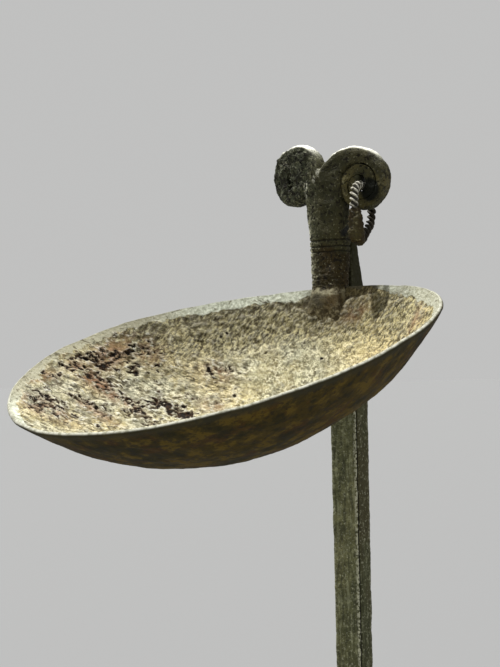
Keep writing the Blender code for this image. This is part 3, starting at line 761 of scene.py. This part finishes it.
def makeNeck(material):
    mesh = rounded(neckCage(), neck["subdivisions"])
    mesh.name = "neck"
    points, normals = meshPoints(mesh), meshNormals(mesh)
    x, y, level = points[:, 0], points[:, 1], points[:, 2] - bowl["rimHeight"]
    cut = 0 * level
    for height, depth in neck["bands"]:
        wave = 0.05 * lumps(points, 5, 2, height)
        cut += depth * bell(level - height + wave, neck["bandWidth"]) * (level < 20)
    settings = ((4.5, 3, 2.2), (1.5, 3, 6.1), (0.6, 2, 8.3))
    coarse, middle, fine = (lumps(points, *setting) for setting in settings)
    leftFace = ramp(-x, 3, 6) * ramp(level, 24, 8)
    leftEdge = ramp(-x, 1.8, 5) * ramp(level, 0.5, 1) * (1 - leftFace)
    foot = 1 - ramp(level, 10, 3)
    rough = 0.4 + 0.75 * np.clip(leftFace + foot * 0.5 + leftEdge * 0.6, 0, 1)
    pits = ramp(0.8 * middle + 0.5 * fine, mix(1.9, 0.95, rough), 0.4)
    relief = 0.07 * coarse + (0.07 * middle + 0.06 * fine) * rough - neck["pitDepth"] * pits
    onFront = ramp(-normals[:, 1], 0.5, 0.3)
    relief += leftFace * onFront * (0.16 * lumps(points, 2.4, 2, 14.0) + 0.05 * middle)
    fleck, hole = 0 * level, 0 * level
    for side, high, width, tall in neck["flecks"]:
        span = np.hypot((x - side) / width, (level - high) / tall) + 0.25 * middle
        fleck = np.maximum(fleck, 1 - ramp(span, 0.7, 0.5))
    for side, high, width, tall, depth, sharp in neck["holes"]:
        span = np.hypot((x - side) / width, (level - high) / tall)
        dent = (1 - ramp(span, 1 - sharp, sharp)) * onFront
        relief -= depth * dent * (1 + 0.25 * middle)
        hole = np.maximum(hole, dent * (depth > 0.9))
    # a nick in the right side, below the scroll, coloured dark as painted shade
    behind = y - neck["notchBack"]
    notch = np.hypot(behind / 3.4, (level - neck["notchHeight"] - 0.45 * behind) / 1.9)
    notch = (1 - ramp(notch, 0.5, 0.5)) * ramp(normals[:, 0], 0.6, 0.2) * (np.abs(x) < 8)
    relief -= neck["notchDepth"] * notch
    points = points + normals * relief[:, None] - normals * np.array([1, 1, 0]) * cut[:, None]
    points[:, 2] = np.minimum(points[:, 2], cadBox[1][2] / mm - 0.05)
    movePoints(mesh, points)
    x, y = points[:, 0], points[:, 1]
    fromSide = np.abs(x - neck["side"][0]) - neck["rootWidth"] / 2 + 2 + 0.5 * coarse
    leftSide = neck["side"][0] - mix(*neck["width"], np.clip(level / neck["height"], 0, 1)) / 2
    # leftEdge and leftLine carry a painted raking highlight on the neck's left edge; root carries painted
    # shade below the neck
    keep(mesh, pit=np.maximum(pits, hole), notch=notch, fleck=fleck * onFront, groove=cut / 0.35,
         leftFace=leftFace, leftEdge=leftEdge, foot=1 - ramp(level + 0.9 * coarse, 11.5, 3),
         root=1 - ramp(level + 0.3 * middle, -0.3, 0.8), rootLeft=ramp(-x, -1, 4),
         rootFade=np.maximum(ramp(fromSide, 0, 2), ramp(0.8 * coarse - level, 6, 3)),
         strip=bell(level + 1.1 + 0.4 * middle, 0.8),
         leftLine=bell(x - leftSide - 0.9, 0.9) * ramp(level, 0.5, 1) * (1 - ramp(level, 22, 5)))
    fromEye = {}
    for name, scroll in scrolls.items():
        splay, eye = math.radians(scroll["splay"]) * scroll["hand"], scroll["eye"]
        fromEye[name] = (x - eye[0]) * math.cos(splay) + (y - eye[1]) * math.sin(splay), level - eye[2]
    outermost = np.minimum(*(np.hypot(*place) for place in fromEye.values())) > neck["outerTurn"]
    sideways, lift = fromEye["right"]
    # top and crest: dust and a painted highlight on the scrolls' up-facing tops; the mask beside the right
    # eye is the ring's painted shadow on the coil
    keep(mesh, top=ramp(normals[:, 2], 0.45, 0.35) * ramp(level, 20, 6) * outermost,
         crest=ramp(normals[:, 2], 0.6, 0.25) * ramp(level, 36, 4) * outermost,
         coil=1 - ramp(np.hypot(sideways, lift), neck["coilTurn"], 0.8),
         stain=bell(sideways - 3.6, 3.4) * bell(lift + 1.4, 4),
         ochre=bell(sideways - 9, 1.6) * bell(lift + 1, 7))
    addPiece("neck", mesh, material, "crusted_iron", "bowl")


# the stake: a tapering bar with a lengthwise seam beside its front right edge, thinned to a tongue on top

stake = {"width": 10.2, "depth": 8.0, "footShare": 0.84, "tongueFrom": -4.1, "tongueTo": 16.9,
         "tongueWidth": 9.8, "tongueDepth": 3.2, "corner": 0.55, "rows": 690, "sidePoints": 13,
         "arcPoints": 5, "seamBack": 0.85, "seamWidth": 0.38, "seamDepth": 0.6,
         "seamCrowding": 1.9, "pitDepth": 0.14, "arrisWear": 0.04, "wander": (0.1, 0.05), "back": 4.0}


def stakeLoop():
    # corner sign across, corner sign along, and the rounding's share, for each point round the bar
    loop = []
    signs = ((1, -1), (1, 1), (-1, 1), (-1, -1))
    for number, (x, y) in enumerate(signs):
        start = math.atan2(y, x) - math.pi / 4
        for step in range(stake["arcPoints"]):
            angle = start + math.pi / 2 * step / (stake["arcPoints"] - 1)
            loop.append((x, y, math.cos(angle), math.sin(angle)))
        nextX, nextY = signs[(number + 1) % 4]
        last = loop[-1]
        for step in range(1, stake["sidePoints"] + 1):
            share = step / (stake["sidePoints"] + 1)
            loop.append((mix(x, nextX, share), mix(y, nextY, share), last[2], last[3]))
    return np.array(loop)


def makeStake(material):
    loop = stakeLoop()
    rim = bowl["rimHeight"]
    bend, top = rim + stake["tongueFrom"], rim + stake["tongueTo"]
    levels = np.linspace(0, top, stake["rows"])
    low, high = np.clip(levels / bend, 0, 1), np.clip((levels - bend) / (top - bend), 0, 1)
    width, depth = (stake[full] * mix(stake["footShare"], 1, low) - (stake[full] - stake[thin]) * high
                    for full, thin in (("width", "tongueWidth"), ("depth", "tongueDepth")))
    middle = (neck["stakeFront"] + stake["tongueDepth"] / 2) * high
    end = np.sqrt(np.clip(1 - np.clip(levels - top + 1, 0, 1) ** 2, 0.02, 1))   # rounds the tongue's end
    corner = stake["corner"]
    halfX, halfY = width / 2 * mix(0.86, 1, end), depth / 2 * mix(0.7, 1, end)
    x = np.outer(halfX - corner, loop[:, 0]) + corner * loop[:, 2]
    y = np.outer(halfY - corner, loop[:, 1]) + corner * loop[:, 3] + middle[:, None]
    # crowd a few points of the right side round the seam
    front, deep = (middle - halfY)[:, None], 2 * halfY[:, None]
    right = (loop[:, 2] > 0.999) & (np.abs(loop[:, 1]) < 0.999) & (x > 0)
    crowded = ((y - front) / deep) ** stake["seamCrowding"] * 0.93 + 0.07
    y = np.where(right, front + deep * crowded, y)
    rows, columns = x.shape
    points = np.stack([x.ravel(), y.ravel(), np.repeat(levels, columns)], axis=1)
    mesh = meshFrom("stake", points, gridFaces(rows, columns, wrapColumns=True))
    halfX, halfY, middle = (np.repeat(values, columns) for values in (halfX, halfY, middle))
    x, y, level = points[:, 0], points[:, 1] - middle, points[:, 2]
    normals = normalsToward(mesh, np.stack([x, y, 0 * x], axis=1))
    upright = points * np.array([0, 0, 1])
    slow, quick = stake["wander"]
    wander = slow * lumps(upright, 14, 3, 1.0) + quick * lumps(upright, 3, 2, 4.0)
    fromFront = y + halfY
    seam = bell(fromFront - stake["seamBack"] - wander, stake["seamWidth"])
    seam *= (x > 0) & (fromFront < 3) & (fromFront > 0.3)
    seam *= 1 - ramp(level, rim - 20, 10)
    coarse, medium, fine = lumps(points, 7, 3, 3.3), lumps(points, 1.8, 3, 7.7), lumps(points, 0.7, 2, 2.9)
    arris = ramp(np.hypot(x / halfX, y / halfY), 1.25, 0.12)
    pits = ramp(0.8 * medium + 0.5 * fine, 1.7, 0.5)
    relief = 0.04 * coarse + 0.025 * medium + 0.02 * fine - stake["pitDepth"] * pits
    relief -= stake["arrisWear"] * arris * np.clip(0.3 + lumps(points, 3, 2, 12.0) * 0.6, 0, 1)
    relief -= stake["seamDepth"] * seam
    points = points + normals * (relief * np.clip(level, 0, 1))[:, None]
    points[:, 1] = np.minimum(points[:, 1], stake["back"])
    movePoints(mesh, points)
    shape = bmesh.new()
    shape.from_mesh(mesh)
    shape.verts.ensure_lookup_table()
    for cap in (range((rows - 1) * columns, rows * columns), range(columns)[::-1]):
        shape.faces.new([shape.verts[number] for number in cap])
    shape.to_mesh(mesh)
    shape.free()
    # the tongue, which stands behind the neck, is kept for painted shade
    keep(mesh, pit=pits, seam=seam, arris=arris, below=1 - ramp(level, 130, 150),
         tongue=ramp(level - rim, -3, 3), frontRight=arris * (x > 0) * (fromFront < 1))
    addPiece("stake", mesh, material, "dark_forged_iron", "stake")


# the ring: two wires twisted round each other, their ends lapped at the front into a rusted thicker run

ring = {"wire": 2.9, "depth": 14.4, "height": 18.1, "top": 0.3, "turns": 14, "stations": 720,
        "strandPoints": 14, "lapStart": 0.262, "lapEnd": 0.505, "lapWidth": 4.9, "lapThickness": 3.0,
        "lapAside": 0.6, "lapSteps": 90, "lapPoints": 40, "strandSpread": 0.94, "strandThickness": 1.06,
        "course": ((0.0, 0.0), (0.306, 0.011), (0.486, 0.116), (0.542, 0.293), (0.556, 0.514), (0.549, 0.79),
                   (0.472, 0.945), (0.319, 1.0), (0.111, 0.945), (-0.125, 0.801), (-0.347, 0.652),
                   (-0.444, 0.459), (-0.438, 0.227), (-0.292, 0.05))}


def ringPoint(turns):
    course = np.array(ring["course"]) * np.array([ring["depth"], -ring["height"]])
    place = (turns % 1.0) * len(course)
    index = np.floor(place).astype(int) % len(course)
    share = (place - np.floor(place))[:, None]
    before, start, end, after = (course[(index + offset) % len(course)] for offset in (-1, 0, 1, 2))
    return 0.5 * (2 * start + (end - before) * share + (2 * before - 5 * start + 4 * end - after) * share ** 2
                  + (3 * start - before - 3 * end + after) * share ** 3)


def ringLine(turns):
    # centre of the twisted pair, its outward direction and the ring's own axis
    splay = math.radians(scrolls["right"]["splay"])
    face = np.array([math.sin(splay), -math.cos(splay), 0])
    axis = np.array([math.cos(splay), math.sin(splay), 0])
    up = np.array([0, 0, 1])
    eye = np.array(scrolls["right"]["eye"]) + up * (bowl["rimHeight"] + ring["top"])
    flat = ringPoint(turns)
    run = ringPoint(turns + 0.002) - ringPoint(turns - 0.002)
    centre = eye - face * scrolls["right"]["depth"] / 2 + flat[:, :1] * face + flat[:, 1:] * up
    out = unit(np.cross(run[:, :1] * face + run[:, 1:] * up, axis))
    return centre, out, np.broadcast_to(axis, out.shape)


def spokesRound(out, axis, cosines, sines):
    return out[:, None] * cosines[:, None] + axis[:, None] * sines[:, None]


def makeRing(material):
    stations, around = ring["stations"], ring["strandPoints"]
    turns = np.arange(stations) / stations
    centre, out, axis = ringLine(turns)
    strand = ring["wire"] / 4
    angles = 2 * math.pi * np.arange(around) / around
    spokes = spokesRound(out, axis, np.cos(angles), np.sin(angles))
    # the upper front run of both wires is worn bright and painted as lit; the rest stays dark as painted
    # shade
    clean = np.repeat(1 - ramp(turns, 0.22, 0.05) + ramp(turns, 0.93, 0.04), around)
    parts = []   # points, faces, and the masks for the lapped run, the pale painted-lit metal and the painted shade between the wires
    for phase in (0, math.pi):
        twist = (2 * math.pi * ring["turns"] * turns + phase)[:, None]
        heart = centre + (out * np.cos(twist) + axis * np.sin(twist)) * strand * ring["strandSpread"]
        points = (heart[:, None] + spokes * strand * ring["strandThickness"]).reshape(-1, 3)
        relief = 0.035 * lumps(points, 1.2, 3, phase) + 0.02 * lumps(points, 0.4, 2, 3.0)
        points = points + spokes.reshape(-1, 3) * relief[:, None]
        fromHeart = np.linalg.norm(points - np.repeat(centre, around, axis=0), axis=1) / (ring["wire"] / 2)
        faces = gridFaces(stations, around, wrapColumns=True, wrapRows=True)
        parts.append((points, faces, np.zeros(len(points)), clean, 1 - ramp(fromHeart, 0.76, 0.2)))
    # the lapped run: a fuller, squarer bar over both wires
    steps, around = ring["lapSteps"], ring["lapPoints"]
    share = np.arange(steps + 1) / steps
    turns = mix(ring["lapStart"], ring["lapEnd"], share)
    centre, out, axis = ringLine(turns)
    fullness = 0.25 + 0.75 * np.clip(np.sin(math.pi * mix(0.03, 0.97, share)), 0, 1) ** 0.35
    angles = 2 * math.pi * np.arange(around) / around
    squared = [np.sign(wave) * np.abs(wave) ** 0.7 for wave in (np.cos(angles), np.sin(angles))]
    spokes = spokesRound(out, axis, squared[0] * ring["lapThickness"] / 2, squared[1] * ring["lapWidth"] / 2)
    heart = centre + axis * ring["lapAside"]
    points = (heart[:, None] + spokes * fullness[:, None, None]).reshape(-1, 3)
    twist = 2 * math.pi * ring["turns"] * turns
    ridge = np.cos(2 * (np.tile(angles, steps + 1) - np.repeat(twist, around)))
    relief = 0.05 * ridge + 0.16 * lumps(points, 2.0, 3, 5.0) + 0.08 * lumps(points, 0.8, 2, 1.0)
    points = points + unit(spokes.reshape(-1, 3)) * relief[:, None]
    faces = gridFaces(steps + 1, around, wrapColumns=True)
    parts.append((points, faces, np.ones(len(points)), np.zeros(len(points)), 0.25 * ramp(-ridge, 0.2, 0.6)))
    allPoints, allFaces, lap, clean, gap = zip(*parts)
    starts = np.cumsum([0] + [len(points) for points in allPoints])
    allFaces = [faces + start for faces, start in zip(allFaces, starts)]
    mesh = meshFrom("ring", np.concatenate(allPoints), np.concatenate(allFaces))
    keep(mesh, lap=np.concatenate(lap), clean=np.concatenate(clean), gap=np.concatenate(gap))
    addPiece("ring", mesh, material, "twisted_iron_wire", "ring")


# materials: noises and masks first, then the coats one over another

def insideFinish():
    paint = Bench("crust")
    upright, blade, streak = crust["upright"], crust["blades"], crust["streaks"]
    broad = paint.clouds(9, 4, 0.55, **upright)
    middle = paint.clouds(3.4, 5, 0.64, shift=(1, 6, 3), **upright)
    patch = paint.clouds(4.5, 5, 0.66, shift=(8, 1, 6), **upright)
    fine, grit = paint.clouds(0.95, 5, 0.7, **upright), paint.clouds(0.5, 4, 0.7, shift=(3, 1, 2))
    blades = paint.clouds(0.8, 6, 0.76, shift=(2, 9, 4), **blade)
    streaks = paint.clouds(0.9, 5, 0.72, shift=(5, 2, 7), twist=0.5, **streak)
    specks = paint.clouds(1.5, 6, 0.74, shift=(7, 2, 5), twist=1.2, **streak)
    rough, flaky, pitEdge = (paint.mask(name) for name in ("rough", "flaky", "pitEdge"))
    grain = fine + rough * (blades - fine) + flaky * (streaks - fine)
    calm = paint.range(paint.clouds(6, 4, 0.6, shift=(4, 4, 1)), 0.44, 0.56)
    contrast = (1 - calm * (1 - rough * 0.5) * 0.5) * (rough * 0.22 + flaky * 0.14 + 0.7)
    crumbs = specks + paint.mask("density") * 0.1 + flaky * 0.048
    ochre = paint.grade(middle, 0.42, 0.56, (0.22, 0.2, 0.1), (0.34, 0.29, 0.125))
    # the crust's bright grains, dulled by painted shade under the rim and in the painted shadows
    bright = paint.over(
        paint.blend(rough, (0.84, 0.8, 0.6), (0.72, 0.64, 0.35)),
        ("warm", 0.6, (0.88, 0.7, 0.34)),
        ("dim", 1, (0.34, 0.32, 0.19)),
        ("shade", 1, (0.25, 0.21, 0.115)))
    # the worn lip, browner at its ends, black in its chips and darkened by the painted shadow beside the neck
    pale = paint.over(
        paint.grade(fine, 0.4, 0.6, (0.74, 0.78, 0.67), (0.44, 0.465, 0.37)),
        ("ends", 0.8, (0.36, 0.335, 0.235)),
        ("shade", 0.95, (0.085, 0.072, 0.042)),
        (crumbs, 0.6, 0.63, 0.8, (0.1, 0.085, 0.05)))
    hollow = paint.grade(fine, 0.45, 0.6, (0.008, 0.006, 0.004), (0.036, 0.018, 0.009))
    colour = paint.over(
        paint.grade(middle, 0.38, 0.6, (0.215, 0.21, 0.14), (0.6, 0.56, 0.34)),
        (broad, 0.48, 0.58, 0.6, (0.5, 0.425, 0.2)),
        (broad, 0.46, 0.38, 0.5, (0.235, 0.245, 0.185)),
        ("warm", 0.8, (0.54, 0.43, 0.2)),
        (rough, 0.6, ochre),
        ("cool", middle, 0.35, 0.6, 0.9, (0.19, 0.21, 0.16)),
        # painted shade under the rim, painted shadows of the neck, scrolls and ring, and painted pools of
        # light
        ("dim", 0.95, (0.062, 0.059, 0.031)),
        ("shade", 0.92, (0.08, 0.064, 0.028)),
        ("lit", 0.65, (0.56, 0.555, 0.44)),
        (patch, 0.52, 0.6, 0.62, (0.14, 0.115, 0.05)),
        (flaky, patch, 0.49, 0.43, 0.6, (0.27, 0.265, 0.2)),
        (contrast, grain, 0.52, 0.555, 0.9, bright),
        (contrast, grain - rough * 0.012, 0.482, 0.45, 0.92, (0.044, 0.035, 0.02)),
        # a painted highlight on the crust's raised bits
        ("high", 0.4, (0.66, 0.63, 0.49)),
        ("flake", streaks, 0.44, 0.54, 0.8, (0.66, 0.67, 0.6)),
        ("rust", middle, 0.38, 0.52, 0.85, (0.23, 0.085, 0.028)),
        (flaky, pitEdge + streaks * 0.8, 0.7, 0.92, 0.7, (0.105, 0.055, 0.027)),
        (crumbs, 0.635, 0.655, 0.95, (0.026, 0.018, 0.01)),
        # painted shade on the crust's steep sides and in its hollows
        ("steep", 0.6, (0.06, 0.044, 0.026)),
        ("low", 0.35, (0.06, 0.044, 0.024)),
        (grit, 0.47, 0.39, 0.5, (0.1, 0.078, 0.042)),
        (paint.mask("lipEdge") + fine * 0.35 + middle * 0.25, 0.76, 0.86, 0.95, pale),
        (pitEdge + streaks * 1.5, 1.27, 1.32, 1, hollow))
    height = grain * (rough + 0.9) + grit * 0.3 + middle * 0.4
    return paint.finish(colour, fine, (0.78, 0.95), height, 0.8, shine=0.15)


def outsideFinish():
    paint = Bench("hammered iron")
    broad, patch = paint.clouds(18, 3, 0.5), paint.clouds(7, 6, 0.68, shift=(4, 0, 1))
    reddish = paint.clouds(9, 5, 0.65, shift=(9, 3, 6))
    fine, grit = paint.clouds(1.6, 5, 0.65), paint.clouds(0.6, 3, 0.6)
    # the rim's outer edge, lighter at the left as a painted highlight
    edge = paint.blend(paint.mask("leftRim"), (0.044, 0.041, 0.024), (0.17, 0.165, 0.125))
    pale = paint.grade(fine, 0.42, 0.6, (0.48, 0.48, 0.41), (0.26, 0.26, 0.2))
    colour = paint.over(
        paint.grade(broad, 0.38, 0.62, (0.038, 0.03, 0.0095), (0.06, 0.041, 0.008)),
        (reddish, 0.5, 0.62, 0.5, (0.08, 0.034, 0.01)),
        (patch, 0.49, 0.6, 0.85, (0.122, 0.08, 0.012)),
        (patch, 0.47, 0.38, 0.75, (0.018, 0.018, 0.007)),
        (fine, 0.55, 0.66, 0.35, (0.105, 0.08, 0.034)),
        (fine, 0.47, 0.38, 0.65, (0.012, 0.009, 0.005)),
        ("edge", 0.75, edge),
        # the rim's pale top, with the neck's painted shadow on it
        ("lip", 0.9, paint.over(pale, ("shade", 0.8, (0.1, 0.088, 0.052)))))
    return paint.finish(colour, fine, (0.65, 0.88), fine * 0.6 + grit * 0.4, 0.15, shine=0.06)


def neckFinish():
    paint = Bench("forged neck")
    broad, fine = paint.clouds(7, 3, 0.5), paint.clouds(1.4, 5, 0.68)
    grit, specks = paint.clouds(0.5, 3, 0.6), paint.clouds(0.8, 5, 0.7, shift=(5, 8, 1))
    dimples = paint.clouds(2.2, 4, 0.6, shift=(6, 2, 9))
    foot, leftFace, leftEdge, root = (paint.mask(name) for name in ("foot", "leftFace", "leftEdge", "root"))
    # the left scroll's face in light and dark dimples: the painted light and shade of its dents
    dentLightShade = paint.grade(dimples, 0.42, 0.58, (0.022, 0.024, 0.015), (0.082, 0.09, 0.058))
    brown = paint.grade(broad, 0.4, 0.6, (0.025, 0.019, 0.007), (0.035, 0.024, 0.009))
    # more bright specks on the left edge and face, a painted raking highlight
    scatter = paint.range(broad, 0.4, 0.62, 0, 0.02) + leftEdge * 0.1
    scatter = scatter + leftFace * paint.range(dimples, 0.45, 0.6) * 0.06
    # the root, painted dark below the neck as painted shade, greyer at its left, and running into the crust
    # of the bowl, painted in the same shade
    shadedCrust = paint.grade(fine, 0.45, 0.56, (0.052, 0.04, 0.02), (0.17, 0.145, 0.085))
    shaded = paint.over(
        paint.blend(paint.mask("rootLeft"), (0.054, 0.037, 0.013), (0.054, 0.048, 0.029)),
        (fine, 0.54, 0.62, 0.5, (0.12, 0.095, 0.045)),
        (fine, 0.47, 0.4, 0.6, (0.03, 0.024, 0.013)),
        ("rootFade", 1, shadedCrust))
    colour = paint.over(
        paint.grade(broad, 0.38, 0.62, (0.034, 0.034, 0.016), (0.054, 0.05, 0.024)),
        # the neck's left edge painted lighter, a painted raking highlight, as is the bright line along it
        (leftEdge, 0.85, (0.092, 0.097, 0.06)),
        (leftFace, 0.9, dentLightShade),
        (foot, 0.9, brown),
        (leftEdge * foot, 0.7, (0.085, 0.078, 0.05)),
        ("coil", broad, 0.35, 0.55, 0.8, (0.085, 0.074, 0.028)),
        ("ochre", fine, 0.4, 0.55, 0.8, (0.13, 0.11, 0.048)),
        (specks + scatter, 0.6, 0.66, 0.6, (0.27, 0.265, 0.18)),
        ("leftLine", specks, 0.44, 0.52, 1, (0.62, 0.62, 0.48)),
        (fine, 0.48, 0.38, 0.65, (0.012, 0.01, 0.006)),
        (root, 0.95, shaded),
        ("strip", fine, 0.35, 0.5, 0.8, (0.3, 0.28, 0.19)),
        (1 - root, paint.mask("pit"), 0.2, 0.6, 0.85, (0.01, 0.008, 0.006)),
        # painted shade in the grooves and the nick, and the ring's painted shadow on the right coil
        ("groove", 0.3, 0.9, 0.7, (0.01, 0.009, 0.006)),
        ("notch", 0.8, (0.014, 0.016, 0.017)),
        (paint.mask("stain") + fine * 0.4, 0.45, 0.75, 1, (0.006, 0.007, 0.004)),
        # dust and a painted highlight on the scrolls' tops, brightest along the crest
        ("top", fine, 0.34, 0.5, 0.9, (0.5, 0.5, 0.41)),
        ("fleck", specks, 0.42, 0.54, 1, (0.5, 0.5, 0.42)),
        ("crest", fine, 0.28, 0.46, 1, (0.84, 0.84, 0.75)))
    return paint.finish(colour, fine, (0.55, 0.8), fine * 0.6 + grit * 0.4, 0.6, shine=0.12)


def stakeFinish():
    paint = Bench("stake iron")
    broad, fine = paint.clouds(12, 3, 0.5, (1, 1, 2.5)), paint.clouds(1.5, 5, 0.68)
    grit, specks = paint.clouds(0.5, 3, 0.6), paint.clouds(0.9, 3, 0.6, shift=(1, 6, 2))
    drawn = paint.clouds(1.2, 4, 0.6, (1, 1, 6.7))
    # the side faces are painted darker than the front, as painted shade
    side = paint.range(paint.facing("X"), 0.6, 0.9)
    colour = paint.over(
        paint.grade(broad, 0.38, 0.62, (0.105, 0.11, 0.052), (0.175, 0.17, 0.08)),
        ("below", 0.75, (0.062, 0.06, 0.027)),
        (drawn, 0.53, 0.6, 0.6, (0.27, 0.275, 0.165)),
        (drawn, 0.47, 0.4, 0.7, (0.06, 0.062, 0.034)),
        (side, broad, 0.4, 0.6, 0.8, (0.08, 0.06, 0.03)),
        (side, 0.5, (0.04, 0.042, 0.02)),
        (fine, 0.44, 0.34, 0.5, (0.04, 0.038, 0.02)),
        (fine, 0.55, 0.64, 0.5, (0.27, 0.275, 0.17)),
        (specks, 0.58, 0.66, 0.7, (0.36, 0.36, 0.25)),
        ("arris", specks, 0.44, 0.56, 0.6, (0.33, 0.33, 0.24)),
        ("frontRight", specks, 0.44, 0.52, 0.8, (0.62, 0.61, 0.44)),
        # the tongue behind the neck is painted dark, as painted shade
        ("tongue", 0.92, (0.02, 0.019, 0.007)),
        ("pit", 0.3, 0.8, 0.35, (0.03, 0.027, 0.015)),
        ("seam", 0.25, 0.7, 1, (0.007, 0.006, 0.004)))
    return paint.finish(colour, fine, (0.55, 0.8), fine * 0.6 + grit * 0.4, 0.3, shine=0.08)


def ringFinish():
    paint = Bench("twisted wire")
    broad, fine, grit = paint.clouds(4, 3, 0.5), paint.clouds(1.1, 5, 0.65), paint.clouds(0.4, 3, 0.6)
    lap = paint.mask("lap")
    # pale wire where it is worn bright and painted as lit
    paleLitMetal = paint.grade(fine, 0.4, 0.6, (0.24, 0.23, 0.18), (0.62, 0.61, 0.53))
    brown = paint.grade(broad, 0.4, 0.6, (0.036, 0.025, 0.01), (0.056, 0.048, 0.021))
    colour = paint.over(
        paint.grade(broad, 0.4, 0.6, (0.026, 0.021, 0.013), (0.044, 0.038, 0.026)),
        ("clean", 1, paleLitMetal),
        (lap, 0.95, brown),
        (fine, 0.46, 0.36, 0.6, (0.018, 0.014, 0.008)),
        (0.1 + lap * 0.4, fine, 0.58, 0.66, 1, (0.24, 0.22, 0.14)),
        # painted shade between the two wires and in the lap's grooves
        ("gap", 0.9, (0.022, 0.018, 0.012)))
    return paint.finish(colour, fine, (0.5, 0.75), fine * 0.6 + grit * 0.4, 0.2, shine=0.12)


setCamera()
setLight()
setFloor()
print("camera, light and floor are set")
makeInside(insideFinish())
makeOutside(outsideFinish())
makeNeck(neckFinish())
makeStake(stakeFinish())
makeRing(ringFinish())
